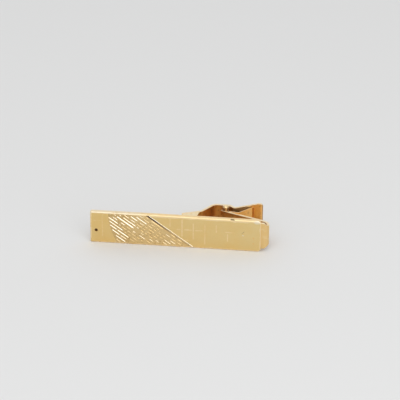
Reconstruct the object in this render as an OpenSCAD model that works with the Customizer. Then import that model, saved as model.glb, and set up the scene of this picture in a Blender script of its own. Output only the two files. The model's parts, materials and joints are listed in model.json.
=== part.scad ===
// Sprung tie clip: a formed bar over a folded strap, with a toothed lever on a pin.
// Lengths are in millimetres. X runs along the bar to the fold, Y runs back from
// the shown face, and Z runs up across the bar, which stands on its lower edge.

/* [Bar] */
// Length of the formed bar, without the fold
bar_l = 53.6; // [48:0.1:60]
// Width of the bar across its long edges
bar_w = 10.7; // [10.4:0.1:14]
// Depth of the bar, from the shown face to the clinched lips
bar_t = 1.7; // [1.6:0.05:2.2]
// Thickness of the sheet that the bar is pressed from
sheet_t = 0.5; // [0.35:0.05:0.6]
// Width of the lips that are folded over the strap
lip_w = 1; // [0.7:0.05:1.1]
// Radius of the bar's long edges
edge_r = 0.45; // [0.2:0.05:0.6]
// Radius of the corners at the free end
free_corner_r = 0.5; // [0.2:0.05:1.5]
// Radius of the corners next to the fold
fold_corner_r = 1.1; // [0.3:0.05:1.6]

/* [Face] */
// Diameter of the small hole near the free end
hole_d = 1; // [0.6:0.05:1.4]
// Distance of the small hole from the free end
hole_x = 1.9; // [1.4:0.1:3]
// Height of the small hole above the lower edge
hole_z = 4.3; // [3:0.1:8]
// Distance of the slanting groove's upper end from the free end
groove_top_x = 17.5; // [12:0.1:24]
// Distance of the slanting groove's lower end from the free end
groove_foot_x = 32.5; // [26:0.1:40]
// Width of the slanting groove
groove_w = 0.5; // [0.3:0.05:0.8]
// Depth of the slanting groove
groove_depth = 0.15; // [0.05:0.01:0.25]

/* [Strap] */
// Distance that the fold stands out past the bar's end
fold_reach = 2.4; // [2.2:0.05:3.2]
// Width of the strap inside the bar
strap_w = 8.8; // [8:0.1:9.4]
// Width of the arm at the fold, from where it narrows to its ears
arm_w = 6.6; // [6.2:0.1:7]
// Outer radius of the fold next to the bar
fold_r = 1.5; // [1.2:0.05:1.9]
// Outer radius of the fold next to the arm
fold_back_r = 3.04; // [2.6:0.01:3.4]
// Angle between the arm and the bar, in degrees
arm_angle = 25; // [22:0.5:27]
// Length of the arm, from the end of the fold to the foot of the pin
arm_l = 14.53; // [13:0.01:16.4]
// Thickness of the ears that hold the pin
ear_t = 0.6; // [0.4:0.05:0.7]
// Radius of the ears round the pin
ear_r = 1; // [0.85:0.05:1.05]

/* [Lever] */
// Thickness of the lever's sheet
lever_t = 0.8; // [0.6:0.05:0.9]
// Width of the lever over the jaw and the hump
lever_w = 7.2; // [6.9:0.1:7.6]
// Distance from the pin to the jaw's nose, along the bar
jaw_l = 13.1; // [12:0.1:16]
// Height of the lever's sheet over the strap, at the nose
nose_h = 4.3; // [3.4:0.1:4.8]
// Distance from the pin to the knee behind the jaw, along the bar
knee_l = 7.3; // [6.6:0.1:8]
// Angle of the jaw's sheet to the bar, in degrees
jaw_angle = 23; // [15:0.5:28]
// Distance from the pin to the hump's start, along the bar
hump_front_l = 3.9; // [3.4:0.1:4.4]
// Distance from the pin to the hump's end, along the bar
hump_back_l = 1; // [0.8:0.1:1.4]
// Height of the hump's sheet over the pin's axis
hump_rise = 1.62; // [1.5:0.01:2]
// Distance from the pin to the thumb pad's root, along the bar
pad_root_l = 2.8; // [2.6:0.1:3.4]
// Height of the pad's root over the pin's axis
pad_root_rise = 0.07; // [0:0.01:0.5]
// Distance from the pin to the thumb pad's end, along the bar
pad_l = 11.1; // [10:0.1:13]
// Height of the pad's end over the pin's axis
pad_end_rise = 0.42; // [0.1:0.01:1.2]
// Share of the thumb pad that widens to the bar's width
flare_share = 0.88; // [0.6:0.01:0.95]
// Length of the thumb pad's turned lip
pad_lip_l = 0.45; // [0.4:0.05:0.9]
// Height of the jaw's teeth
tooth_h = 0.45; // [0.3:0.05:0.6]
// Number of teeth along each side of the jaw
side_teeth = 5; // [3:1:7]

/* [Pin and spring] */
// Diameter of the hinge pin
pin_d = 1; // [0.8:0.05:1.1]
// Thickness of the leaf spring
spring_t = 0.22; // [0.15:0.01:0.25]
// Width of the leaf spring at its fold
spring_w = 6.8; // [6:0.1:7.2]
// Width of the leaf spring at its tip
spring_tip_w = 8.8; // [7.2:0.1:9.2]
// Distance from the pin to the leaf spring's fold, along the bar
spring_fold_l = 4.2; // [3.6:0.1:4.8]
// Distance from the pin to the leaf spring's tip, along the bar
spring_l = 8.4; // [7.4:0.1:9]

/* [Hidden] */

// Facets of a full circle
$fn = 48;
// Facets of each round bend in a strip
bend_steps = 8;
// Halves, so that middles read as what they are
half = 0.5;
// Overrun of a cut past the face that it opens
cut = 0.2;

// Clearances: round the strap, beside the ears, round the pin and at resting contacts
strap_clear = 0.1;
side_clear = 0.06;
pin_clear = 0.04;
rest_clear = 0.02;

// The strap fills the depth between the face sheet and the lips
lip_t = 0.4;
strap_t = bar_t - sheet_t - lip_t;
strap_back_y = sheet_t + strap_t;
mid_z = bar_w * half;

// The fold, seen from above: a tight quarter turn out of the bar, then a wider bend to the arm
overall_l = bar_l + fold_reach;
fold_mid_r = fold_r - strap_t * half;
fold_x = overall_l - fold_r;
fold_y = sheet_t + fold_r;
back_mid_r = fold_back_r - strap_t * half;
back_x = overall_l - fold_back_r;
back_turn = 90 - arm_angle;

// Directions along the arm towards its end, and out of its back
arm_dir = [-cos(arm_angle), sin(arm_angle)];
arm_out = [sin(arm_angle), cos(arm_angle)];
arm_start = [back_x, fold_y] + back_mid_r * arm_out;

// The pin stands off the arm by the radius of the spring's eye
pin_r = pin_d * half;
eye_in_r = pin_r + pin_clear;
eye_out_r = eye_in_r + spring_t;
eye_mid_r = eye_in_r + spring_t * half;
pin_at = arm_start + arm_l * arm_dir + (strap_t * half + eye_out_r) * arm_out;
pin_x = pin_at[0];
pin_y = pin_at[1];
arm_end = arm_start + (arm_l + ear_r) * arm_dir;
echo(pin_from_origin = pin_at - [bar_l, bar_t] * half);

// Widths at the pin, from the lever's ears inwards
arm_end_w = lever_w - 2 * (ear_t + side_clear);
eye_w = arm_end_w - 2 * (ear_t + strap_clear);
neck_x = pin_x + ear_r + pin_clear;

// Rivet heads of the pin, as shares of the ear's radius and of the pin's diameter
head_r_share = 0.75;
head_h_share = 0.6;
head_r = head_r_share * ear_r;
head_h = head_h_share * pin_d;

// Bend radii of the lever, at the middle of its sheet
knee_r = 1.5;
hump_front_r = 2.2;
hump_back_r = 1.1;
root_r = 1;
lip_r = 0.5;
lip_angle = 60;
pad_corner_r = 0.8;

// Corners of the lever's middle line, from the nose to the turned lip
nose_x = pin_x - jaw_l;
nose_at = [nose_x, strap_back_y + nose_h];
knee_at = nose_at + (jaw_l - knee_l) * [1, tan(jaw_angle)];
hump_start = pin_at + [-hump_front_l, hump_rise];
hump_end = pin_at + [hump_back_l, hump_rise];
pad_root = pin_at + [pad_root_l, pad_root_rise];
pad_end = pin_at + [pad_l, pad_end_rise];
back_y = pin_y + hump_rise + lever_t;
pad_tip = pad_end + pad_lip_l * [cos(lip_angle), sin(lip_angle)];

// Sides of the jaw: teeth on the strap, then a round rise to the steep part of the sheet
tooth_y = strap_back_y + rest_clear;
side_flat_l = 4.6;
side_end_share = 0.55;
side_end = knee_at + side_end_share * (hump_start - knee_at);
nose_teeth = 6;

// The leaf spring lies on the arm, folds and rises to the thumb pad
spring_fold_r = 0.45;
spring_tip_r = 0.5;
spring_tip_l = 0.6;
pad_slope = (pad_end_rise - pad_root_rise) / (pad_l - pad_root_l);
pad_front_rise = pad_root_rise + pad_slope * (spring_l - pad_root_l) - lever_t * half;
eye_foot = pin_at - eye_mid_r * arm_out;
spring_fold = eye_foot - (pin_x + spring_fold_l - eye_foot[0]) / cos(arm_angle) * arm_dir;
spring_tip = pin_at + [spring_l, pad_front_rise - spring_t * half - rest_clear];
spring_end = spring_tip + spring_tip_l * [cos(jaw_angle), -sin(jaw_angle)];
eye_gap_start = 3;
eye_gap_end = 70;

// A vector of length one
function unit(v) = v / norm(v);
// The vector turned a quarter turn to the left
function left(v) = [-v[1], v[0]];
// The signed turn from one direction to the next, in degrees
function turn(u, v) = atan2(u[0] * v[1] - u[1] * v[0], u * v);
// The vector turned by an angle
function turned(v, a) = [v[0] * cos(a) - v[1] * sin(a), v[0] * sin(a) + v[1] * cos(a)];

// Points with their left normals round the bend at corner b, between a and c
function bend(a, b, c, r) =
    let (u = unit(b - a), v = unit(c - b), t = turn(u, v), side = t < 0 ? -1 : 1)
    let (start = b - u * r * tan(abs(t) * half), centre = start + side * r * left(u))
    [for (i = [0:bend_steps])
        let (n = turned(left(u), t * i / bend_steps))
        [centre - side * r * n, n]];

// Points with their left normals along a path of corners, whose inner ones are rounded
function path(corners, radii) =
    let (last = len(corners) - 1)
    let (first_n = left(unit(corners[1] - corners[0])))
    let (last_n = left(unit(corners[last] - corners[last - 1])))
    concat(
        [[corners[0], first_n]],
        [for (k = [1:last - 1]) each bend(corners[k - 1], corners[k], corners[k + 1], radii[k - 1])],
        [[corners[last], last_n]]
    );

// Points of an arc about a centre
function arc(centre, r, from, to) =
    [for (i = [0:bend_steps]) centre + r * turned([1, 0], from + (to - from) * i / bend_steps)];

// Outline of a strip of one thickness along a path
module strip(line, t) {
    back = [for (p = line) p[0] + p[1] * t * half];
    front = [for (i = [len(line) - 1:-1:0]) line[i][0] - line[i][1] * t * half];
    polygon(concat(back, front));
}

// Raises a plan outline across the bar, about its middle
module across(w) {
    translate([0, 0, mid_z - w * half])
        linear_extrude(height = w)
            children();
}

// Sets an outline of X and Z standing, from one depth to another
module upright(from_y, to_y) {
    translate([0, to_y, 0])
        rotate([90, 0, 0])
            linear_extrude(height = to_y - from_y)
                children();
}

// Moves the clip so that its origin is the middle of the bar's lower edge
module placed() {
    translate([-bar_l * half, -bar_t * half, 0])
        children();
}

// The bar's outline from the front, with its four round corners
module bar_outline() {
    r = free_corner_r;
    s = fold_corner_r;
    polygon(concat(
        arc([r, r], r, 180, 270),
        arc([bar_l - s, s], s, 270, 360),
        arc([bar_l - s, bar_w - s], s, 0, 90),
        arc([r, bar_w - r], r, 90, 180)
    ));
}

// The bar's section across its length, with round long edges
module bar_section() {
    r = edge_r;
    polygon(concat(
        arc([r, r], r, 180, 270),
        arc([bar_t - r, r], r, 270, 360),
        arc([bar_t - r, bar_w - r], r, 0, 90),
        arc([r, bar_w - r], r, 90, 180)
    ));
}

// The bar's outline from above, with the free end's edge rounded
module bar_plan() {
    r = edge_r;
    polygon(concat(
        arc([r, r], r, 180, 270),
        [[bar_l, 0], [bar_l, bar_t]],
        arc([r, bar_t - r], r, 90, 180)
    ));
}

// The bar as a block, before it is hollowed
module bar_block() {
    intersection() {
        upright(0, bar_t)
            bar_outline();
        multmatrix([[0, 0, 1, 0], [1, 0, 0, 0], [0, 1, 0, 0], [0, 0, 0, 1]])
            linear_extrude(height = bar_l)
                bar_section();
        linear_extrude(height = bar_w)
            bar_plan();
    }
}

// The pressed bar: face sheet, turned rims and lips clinched over the strap
module front_bar() {
    inner_w = bar_w - 2 * sheet_t;
    window_w = inner_w - 2 * lip_w;
    groove_run = [groove_foot_x - groove_top_x, bar_w];
    groove_l = norm(groove_run);
    groove_angle = atan2(groove_run[1], groove_run[0]);
    color([0.86, 0.7, 0.4])
        placed()
            difference() {
                bar_block();
                translate([sheet_t, sheet_t, mid_z - inner_w * half])
                    cube([bar_l, strap_t, inner_w]);
                translate([sheet_t + lip_w, sheet_t, mid_z - window_w * half])
                    cube([bar_l, bar_t, window_w]);
                translate([hole_x, -cut, hole_z])
                    rotate([-90, 0, 0])
                        cylinder(d = hole_d, h = sheet_t + 2 * cut);
                translate([groove_top_x, 0, bar_w])
                    rotate([0, groove_angle, 0])
                        translate([-groove_w, -cut, -groove_w * half])
                            cube([groove_l + 2 * groove_w, cut + groove_depth, groove_w]);
            }
}

// Width of the strap round the fold, which narrows to the arm
module fold_taper() {
    wide = strap_w * half;
    slim = arm_w * half;
    polygon([
        [fold_x - bar_t, mid_z - wide],
        [fold_x, mid_z - wide],
        [overall_l, mid_z - slim],
        [overall_l, mid_z + slim],
        [fold_x, mid_z + wide],
        [fold_x - bar_t, mid_z + wide]
    ]);
}

// Width of the arm, which narrows from the fold to its ears
module arm_taper() {
    wide = arm_w * half;
    slim = arm_end_w * half;
    polygon([
        [arm_end[0] - strap_t, mid_z - slim],
        [neck_x, mid_z - slim],
        [back_x, mid_z - wide],
        [overall_l, mid_z - wide],
        [overall_l, mid_z + wide],
        [back_x, mid_z + wide],
        [neck_x, mid_z + slim],
        [arm_end[0] - strap_t, mid_z + slim]
    ]);
}

// The middle line of the fold and the arm, as far as a given end, with a short run in the bar
function arm_line(end) = concat(
    [[[fold_x - strap_t, sheet_t + strap_t * half], [0, 1]]],
    [for (i = [0:bend_steps])
        let (a = 90 * i / bend_steps)
        [[fold_x, fold_y] + fold_mid_r * [sin(a), -cos(a)], [-sin(a), cos(a)]]],
    [for (i = [1:bend_steps])
        let (a = back_turn * i / bend_steps)
        [[back_x, fold_y] + back_mid_r * [cos(a), sin(a)], [-cos(a), -sin(a)]]],
    [[end, -arm_out]]
);

// One ear of the arm, from above
module arm_ear() {
    difference() {
        union() {
            translate(pin_at)
                circle(r = ear_r);
            translate(pin_at)
                rotate(-arm_angle)
                    translate([-ear_r, -eye_out_r - strap_t * half])
                        square([2 * ear_r, eye_out_r + strap_t * half]);
        }
        translate(pin_at)
            circle(r = pin_r + pin_clear);
    }
}

// The strap: a strip inside the bar, the fold, and the arm with its two ears
module back_strap() {
    start_x = sheet_t + strap_clear;
    color([0.82, 0.64, 0.34])
        placed() {
            translate([start_x, sheet_t, mid_z - strap_w * half])
                cube([fold_x - start_x, strap_t, strap_w]);
            intersection() {
                across(strap_w)
                    strip(arm_line(arm_start), strap_t);
                upright(sheet_t, fold_y)
                    fold_taper();
            }
            intersection() {
                across(arm_w)
                    strip(arm_line(arm_end), strap_t);
                upright(sheet_t, back_y)
                    arm_taper();
            }
            for (side = [-1, 1])
                translate([0, 0, mid_z + side * (arm_end_w - ear_t) * half - ear_t * half])
                    linear_extrude(height = ear_t)
                        arm_ear();
        }
}

// One toothed side of the jaw, from above
module jaw_side() {
    pitch = side_flat_l / side_teeth;
    rise = side_end[1] - tooth_y;
    run = side_end[0] - nose_x - side_flat_l;
    polygon(concat(
        [nose_at, [nose_x, tooth_y]],
        [for (i = [1:side_teeth]) each [
            [nose_x + (i - half) * pitch, tooth_y + tooth_h],
            [nose_x + i * pitch, tooth_y]
        ]],
        [for (i = [1:bend_steps])
            let (a = 90 * i / bend_steps)
            [nose_x + side_flat_l + run * (1 - cos(a)), tooth_y + rise * sin(a)]],
        [knee_at]
    ));
}

// The jaw's nose, turned down to the strap and notched into teeth
module jaw_nose() {
    pitch = lever_w / nose_teeth;
    difference() {
        translate([nose_x, tooth_y, mid_z - lever_w * half])
            cube([ear_t, nose_at[1] - tooth_y, lever_w]);
        for (i = [1:nose_teeth])
            translate([nose_x - cut, tooth_y, mid_z - lever_w * half + (i - half) * pitch])
                rotate([0, 90, 0])
                    linear_extrude(height = ear_t + 2 * cut)
                        polygon([[-pitch * half, -cut], [0, tooth_h], [pitch * half, -cut]]);
    }
}

// Outline of the lever from the front, with the thumb pad widening to the bar's width
module lever_outline() {
    slim = lever_w * half;
    wide = mid_z;
    r = pad_corner_r;
    near_x = nose_x - lever_t;
    far_x = pad_tip[0] + lever_t * half * sin(lip_angle);
    flare_x = pad_root[0] + flare_share * (pad_l - pad_root_l);
    polygon(concat(
        [[near_x, mid_z - slim], [pad_root[0], mid_z - slim], [flare_x, mid_z - wide]],
        arc([far_x - r, mid_z - wide + r], r, 270, 360),
        arc([far_x - r, mid_z + wide - r], r, 0, 90),
        [[flare_x, mid_z + wide], [pad_root[0], mid_z + slim], [near_x, mid_z + slim]]
    ));
}

// One ear of the lever, from above
module lever_ear() {
    difference() {
        union() {
            translate(pin_at)
                circle(r = ear_r);
            translate(pin_at - [ear_r, 0])
                square([2 * ear_r, hump_rise]);
        }
        translate(pin_at)
            circle(r = pin_r);
    }
}

// The lever: toothed jaw, hump with ears over the pin, and thumb pad
module jaw_lever() {
    corners = [nose_at, knee_at, hump_start, hump_end, pad_root, pad_end, pad_tip];
    color([0.8, 0.6, 0.3])
        placed() {
            intersection() {
                across(bar_w)
                    strip(path(corners, [knee_r, hump_front_r, hump_back_r, root_r, lip_r]), lever_t);
                upright(0, back_y)
                    lever_outline();
            }
            for (side = [-1, 1])
                translate([0, 0, mid_z + side * (lever_w - ear_t) * half - ear_t * half])
                    linear_extrude(height = ear_t) {
                        jaw_side();
                        lever_ear();
                    }
            jaw_nose();
        }
}

// Points of a domed rivet head's outline, whose rim is at a height
function dome(rim_z, h, from, to) =
    [for (i = [0:bend_steps])
        let (a = from + (to - from) * i / bend_steps)
        [head_r * cos(a), rim_z + h * sin(a)]];

// The hinge pin with its two riveted heads
module hinge_pin() {
    shaft_end = lever_w * half;
    color([0.88, 0.76, 0.5])
        placed()
            translate([pin_x, pin_y, mid_z])
                rotate_extrude()
                    polygon(concat(
                        dome(-shaft_end, head_h, -90, 0),
                        [[pin_r, -shaft_end], [pin_r, shaft_end]],
                        dome(shaft_end, head_h, 0, 90)
                    ));
}

// Outline of the leaf spring from the front: slim at the eye, and wider towards its tip
module spring_outline() {
    slim = eye_w * half;
    foot = arm_end_w * half;
    wide = spring_w * half;
    tip = spring_tip_w * half;
    shoulder_x = neck_x + side_clear;
    fold_end_x = spring_fold[0];
    polygon([
        [eye_foot[0] - eye_out_r, mid_z - slim],
        [shoulder_x, mid_z - slim],
        [shoulder_x, mid_z - foot],
        [fold_end_x, mid_z - wide],
        [spring_end[0] + spring_t, mid_z - tip],
        [spring_end[0] + spring_t, mid_z + tip],
        [fold_end_x, mid_z + wide],
        [shoulder_x, mid_z + foot],
        [shoulder_x, mid_z + slim],
        [eye_foot[0] - eye_out_r, mid_z + slim]
    ]);
}

// The leaf spring: an eye round the pin, a foot on the arm and a leaf up to the thumb pad
module leaf_spring() {
    corners = [eye_foot, spring_fold, spring_tip, spring_end];
    color([0.84, 0.66, 0.34])
        placed() {
            across(eye_w)
                translate(pin_at)
                    difference() {
                        circle(r = eye_out_r);
                        circle(r = eye_in_r);
                        rotate(-arm_angle - 90)
                            polygon([
                                [0, 0],
                                2 * eye_out_r * [cos(eye_gap_start), sin(eye_gap_start)],
                                2 * eye_out_r * [cos(eye_gap_end), sin(eye_gap_end)]
                            ]);
                    }
            intersection() {
                across(bar_w)
                    strip(path(corners, [spring_fold_r, spring_tip_r]), spring_t);
                upright(0, back_y)
                    spring_outline();
            }
        }
}

front_bar();
back_strap();
jaw_lever();
hinge_pin();
leaf_spring();
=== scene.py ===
"""The tie clip's looks, laid out as an add-on: one operator for each piece and one for the stage."""
import json
import math
import random

import bmesh
import bpy
from bpy.props import FloatProperty, FloatVectorProperty, PointerProperty
from mathutils import Matrix, Vector
from mathutils.geometry import delaunay_2d_cdt


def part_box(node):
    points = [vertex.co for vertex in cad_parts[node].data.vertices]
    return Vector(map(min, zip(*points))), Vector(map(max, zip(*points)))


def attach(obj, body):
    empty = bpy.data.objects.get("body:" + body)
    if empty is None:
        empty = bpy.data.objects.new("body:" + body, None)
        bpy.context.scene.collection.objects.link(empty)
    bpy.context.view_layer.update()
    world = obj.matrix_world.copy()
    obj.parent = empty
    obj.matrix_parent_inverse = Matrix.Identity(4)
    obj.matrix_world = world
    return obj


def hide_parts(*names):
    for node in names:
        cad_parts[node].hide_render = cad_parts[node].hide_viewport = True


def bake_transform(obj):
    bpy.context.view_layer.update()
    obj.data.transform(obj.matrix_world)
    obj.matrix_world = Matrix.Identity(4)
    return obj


bl_info = {
    "name": "Tie clip",
    "version": (1, 0, 0),
    "blender": (4, 5, 0),
    "location": "View3D > Sidebar > Tie clip",
    "description": "Dresses a gilt tie clip with an engraved bar and a sprung lever",
    "category": "Object",
}

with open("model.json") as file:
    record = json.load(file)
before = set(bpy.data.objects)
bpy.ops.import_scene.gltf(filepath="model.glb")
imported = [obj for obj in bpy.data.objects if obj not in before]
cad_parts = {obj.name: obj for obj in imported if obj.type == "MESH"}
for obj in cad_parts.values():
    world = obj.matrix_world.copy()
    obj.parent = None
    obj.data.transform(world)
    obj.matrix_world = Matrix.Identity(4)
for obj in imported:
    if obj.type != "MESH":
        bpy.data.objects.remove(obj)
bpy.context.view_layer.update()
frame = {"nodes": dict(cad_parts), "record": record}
BAR_LOW, BAR_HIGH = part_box("front_bar")
BAR_SIZE = BAR_HIGH - BAR_LOW
MM = 0.001
# What rounding may add to a place, and how close two points are taken for one
TINY = 1e-7
SAME_PLACE = 1e-6

# The photograph's width in pixels, and the width of the sensor that the lens is given for
PHOTO_SIZE = 400
SENSOR = 36.0
# The fitted camera: focal length in pixels, and the picture's centre from the free end's middle
FOCAL_PIXELS = 2238.6
AIM_RIGHT = 34.30 * MM
AIM_UP = 8.54 * MM
# The nearest and farthest points that the camera shows, from itself
NEAREST, FARTHEST = 0.01, 20
# How far the floor reaches from the clip to each side, and how rough it is
FLOOR_REACH, FLOOR_ROUGHNESS = 3.0, 0.8


def a_colour(name, description, value):
    return FloatVectorProperty(
        name=name, description=description, subtype="COLOR", size=3, min=0, max=1, default=value)


def a_length(name, description, millimetres):
    return FloatProperty(name=name, description=description, unit="LENGTH", default=millimetres * MM)


def an_angle(name, description, degrees):
    return FloatProperty(name=name, description=description, subtype="ANGLE", default=math.radians(degrees))


def a_strength(name, description, value):
    return FloatProperty(name=name, description=description, default=value)


class TieClipColours(bpy.types.PropertyGroup):
    """Colours of the gilt and of the stage."""

    gilt: a_colour("Gilt", "Colour of the bar's gilt", (0.845, 0.59, 0.23))
    # Pale gilt is also the colour that the painted lighting gradient leans towards.
    pale_gilt: a_colour("Pale gilt", "Colour of the bar where hands have rubbed it", (0.845, 0.655, 0.315))
    # Rubbed wear, and also the colour of the painted sheen on the face's border, the rim and the thumb pad.
    worn_gilt: a_colour("Worn gilt", "Colour of the rubbed edges", (0.95, 0.745, 0.43))
    # Pale from polish and partly a painted highlight: on the cuts' lit facets, the face's and rim's
    # highlights, and the palest edge wear.
    cut_gilt: a_colour("Cut gilt", "Colour of the polished facets of the cuts", (0.9, 0.815, 0.645))
    field_gilt: a_colour("Field gilt", "Colour of the stippled ground between the cuts", (0.8, 0.6, 0.3))
    field_shade: a_colour("Field shade", "Colour of the ground where the cuts lie close", (0.58, 0.4, 0.17))
    deep_gilt: a_colour("Deep gilt", "Colour of the gilt on the lever, strap and spring", (0.89, 0.62, 0.28))
    # Tarnish in spots, and the deeper base of the insides, which partly stands for their shade.
    tarnish: a_colour("Tarnish", "Colour of the gilt on the insides", (0.91, 0.49, 0.14))
    # Painted shade: round the pin, on the cuts' flanks, in patches on the insides and on the thumb pad's
    # lip.
    pin_shade: a_colour("Pin shade", "Colour of the dark metal round the pin", (0.38, 0.18, 0.06))
    # Dirt in spots, the dark groove floor and nick, and painted shade where the bar's hole shows the strap.
    grime: a_colour("Grime", "Colour of the dirt in the groove and the hole", (0.075, 0.045, 0.028))
    floor: a_colour("Floor", "Colour of the floor", (0.755, 0.758, 0.757))


class TieClipBar(bpy.types.PropertyGroup):
    """Sizes of the engraved bar."""

    sheet: a_length("Sheet", "Thickness of the face and the rims", 0.5)
    lip_sheet: a_length("Lip thickness", "Thickness of the lips behind the strap", 0.4)
    lip: a_length("Lip", "Width of the lips behind the strap", 1.0)
    edge_radius: a_length("Edge radius", "Radius of the bar's long edges", 0.45)
    free_corner: a_length("Free corners", "Corner radius at the free end", 0.5)
    fold_corner: a_length("Fold corners", "Corner radius next to the fold", 1.1)
    burr: a_length("Soft edge", "Rounding of the sheet's cut edges", 0.09)
    hole: a_length("Hole", "Diameter of the small hole", 1.0)
    hole_reach: a_length("Hole's place", "Distance of the hole from the free end", 1.9)
    hole_height: a_length("Hole's height", "Height of the hole over the lower edge", 4.3)
    groove_top: a_length("Groove's top", "Where the groove leaves the upper edge", 17.5)
    groove_foot: a_length("Groove's foot", "Where the groove leaves the lower edge", 32.5)
    hatch_pitch: a_length("Hatch pitch", "Distance between the hatch cuts", 0.936)
    hatch_gap: a_length("Hatch gap", "Distance from the groove to the hatch cut next to it", 1.54)
    hatch_width: a_length("Hatch width", "Width of a hatch cut's bright facet", 0.24)
    hatch_depth: a_length("Hatch depth", "Depth of a hatch cut", 0.135)
    check_width: a_length("Check width", "Width of a check line", 0.5)
    check_depth: a_length("Check depth", "Depth of a check line", 0.012)


class TieClipSpring(bpy.types.PropertyGroup):
    """Where the leaf spring starts to bend, and where it follows the thumb pad."""

    fold_reach: a_length("Fold's place", "Place of the leaf's fold along the clip", 18.9)
    fold_depth: a_length("Fold's depth", "Depth of the leaf's fold behind the bar's middle", 8.3)
    tip_reach: a_length("Tip's place", "Place of the leaf's tip along the clip", 22.9)
    tip_depth: a_length("Tip's depth", "Depth of the leaf's tip behind the bar's middle", 10.4)


class TieClipStage(bpy.types.PropertyGroup):
    """Camera and lamps."""

    yaw: an_angle("Turn", "Turn of the view towards the fold's end", 6.59)
    elevation: an_angle("Elevation", "Height of the view over the horizon", 27.0)
    roll: an_angle("Roll", "Tilt of the camera", 0.37)
    distance: a_length("Distance", "Distance of the camera from the bar's free end", 700)
    horizon_level: a_strength("Horizon", "Strength of the light from the sides", 0.53)
    overhead_level: a_strength("Overhead", "Strength of the light from above", 0.67)
    front_level: a_strength("Front", "Strength that the light from the front has over that", 0.27)
    back_level: a_strength("Back", "Strength that the light from behind has over that", 0.28)
    lamp_distance: a_length("Lamps' distance", "Distance of both soft lamps", 800)
    side_glow: a_strength("Side lamp", "Brightness of the side lamp's face", 0.85)
    side_size: a_length("Side lamp's size", "Diameter of the side lamp", 600)
    side_turn: an_angle("Side lamp's turn", "Turn of the side lamp from the front towards the fold", 34)
    side_height: an_angle("Side lamp's height", "Height of the side lamp over the horizon", 22)
    top_glow: a_strength("Top lamp", "Brightness of the top lamp's face", 0.95)
    top_size: a_length("Top lamp's size", "Diameter of the top lamp", 900)
    top_turn: an_angle("Top lamp's turn", "Turn of the top lamp from the front towards the fold", 12)
    top_height: an_angle("Top lamp's height", "Height of the top lamp over the horizon", 58)


def label(name):
    """The shown name of an effect or of one of its inputs."""
    return name.replace("_", " ").capitalize()


def new_material(name):
    """A new material and its shader."""
    material = bpy.data.materials.new(name)
    material.use_nodes = True
    return material, material.node_tree.nodes["Principled BSDF"]


def new_object(name, data):
    """A new object, put into the scene."""
    made = bpy.data.objects.new(name, data)
    bpy.context.scene.collection.objects.link(made)
    return made


# Places of the two colours and of the result among the mix node's sockets
MIX_FIRST, MIX_SECOND, MIX_RESULT = 6, 7, 2


class Wiring:
    """Adds nodes to a node tree and joins them."""

    def __init__(self, tree):
        self.tree = tree

    def add(self, kind, links=None, **settings):
        """A node, with its settings, and with a value or another node's socket for each input."""
        node = self.tree.nodes.new(kind)
        for name, value in settings.items():
            setattr(node, name, value)
        for name, value in (links or {}).items():
            self.join(value, node.inputs[name])
        return node

    def join(self, value, socket):
        if isinstance(value, bpy.types.NodeSocket):
            self.tree.links.new(value, socket)
        elif hasattr(socket.default_value, "__len__") and len(value) < len(socket.default_value):
            socket.default_value = (*value, 1)
        else:
            socket.default_value = value

    def maths(self, operation, first, second):
        return self.add("ShaderNodeMath", {0: first, 1: second}, operation=operation).outputs[0]

    def times(self, first, second):
        return self.maths("MULTIPLY", first, second)

    def plus(self, first, *others):
        for other in others:
            first = self.maths("ADD", first, other)
        return first

    def vector(self, operation, first, second=(0, 0, 0)):
        node = self.add("ShaderNodeVectorMath", {0: first, 1: second}, operation=operation)
        return node.outputs["Value" if operation == "LENGTH" else "Vector"]

    def place(self, turn=0):
        """The point of the surface in millimetres, turned in the plane of the bar's face."""
        spot = self.add("ShaderNodeTexCoord").outputs["Object"]
        turned = self.add("ShaderNodeVectorRotate", {"Vector": spot, "Axis": (0, 1, 0), "Angle": turn})
        return self.vector("MULTIPLY", turned.outputs[0], (1 / MM, 1 / MM, 1 / MM))

    def axes(self, place):
        return self.add("ShaderNodeSeparateXYZ", {"Vector": place}).outputs

    def noise(self, place, scale, detail, roughness):
        links = {"Vector": place, "Scale": scale, "Detail": detail, "Roughness": roughness}
        return self.add("ShaderNodeTexNoise", links).outputs[0]

    def ramp(self, value, low, high, start=0.0, end=1.0):
        """A value's smooth change from start to end, while it goes from low to high."""
        links = {"Value": value, "From Min": low, "From Max": high, "To Min": start, "To Max": end}
        return self.add("ShaderNodeMapRange", links, interpolation_type="SMOOTHSTEP").outputs[0]

    def covered(self, value, cover, highest, drop, soft):
        """Where a value passes a level, which lies lower as the cover grows."""
        level = self.maths("SUBTRACT", highest, self.times(cover, drop))
        return self.ramp(value, level, self.plus(level, soft))

    def mix(self, share, first, second):
        """A colour between two others."""
        links = {0: share, MIX_FIRST: first, MIX_SECOND: second}
        return self.add("ShaderNodeMix", links, data_type="RGBA").outputs[MIX_RESULT]

    def use(self, group, **given):
        """Places one of the shared effects, with its inputs."""
        links = {label(name): value for name, value in given.items()}
        return self.add("ShaderNodeGroup", links, node_tree=group()).outputs[0]


FLOAT, COLOUR = "NodeSocketFloat", "NodeSocketColor"


def effect(kind, **inputs):
    """Makes a function into a shared effect: a node group with named inputs and one output, which
    is built once."""
    def wrap(build):
        name = label(build.__name__)

        def group():
            if name in bpy.data.node_groups:
                return bpy.data.node_groups[name]
            tree = bpy.data.node_groups.new(name, "ShaderNodeTree")
            for given, value in inputs.items():
                socket_kind = COLOUR if isinstance(value, tuple) else FLOAT
                socket = tree.interface.new_socket(label(given), in_out="INPUT", socket_type=socket_kind)
                socket.default_value = value
            tree.interface.new_socket("Effect", in_out="OUTPUT", socket_type=kind)
            wiring = Wiring(tree)
            entry = wiring.add("NodeGroupInput")
            result = build(wiring, *[entry.outputs[label(given)] for given in inputs])
            wiring.add("NodeGroupOutput", {"Effect": result})
            return tree
        return group
    return wrap


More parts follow.
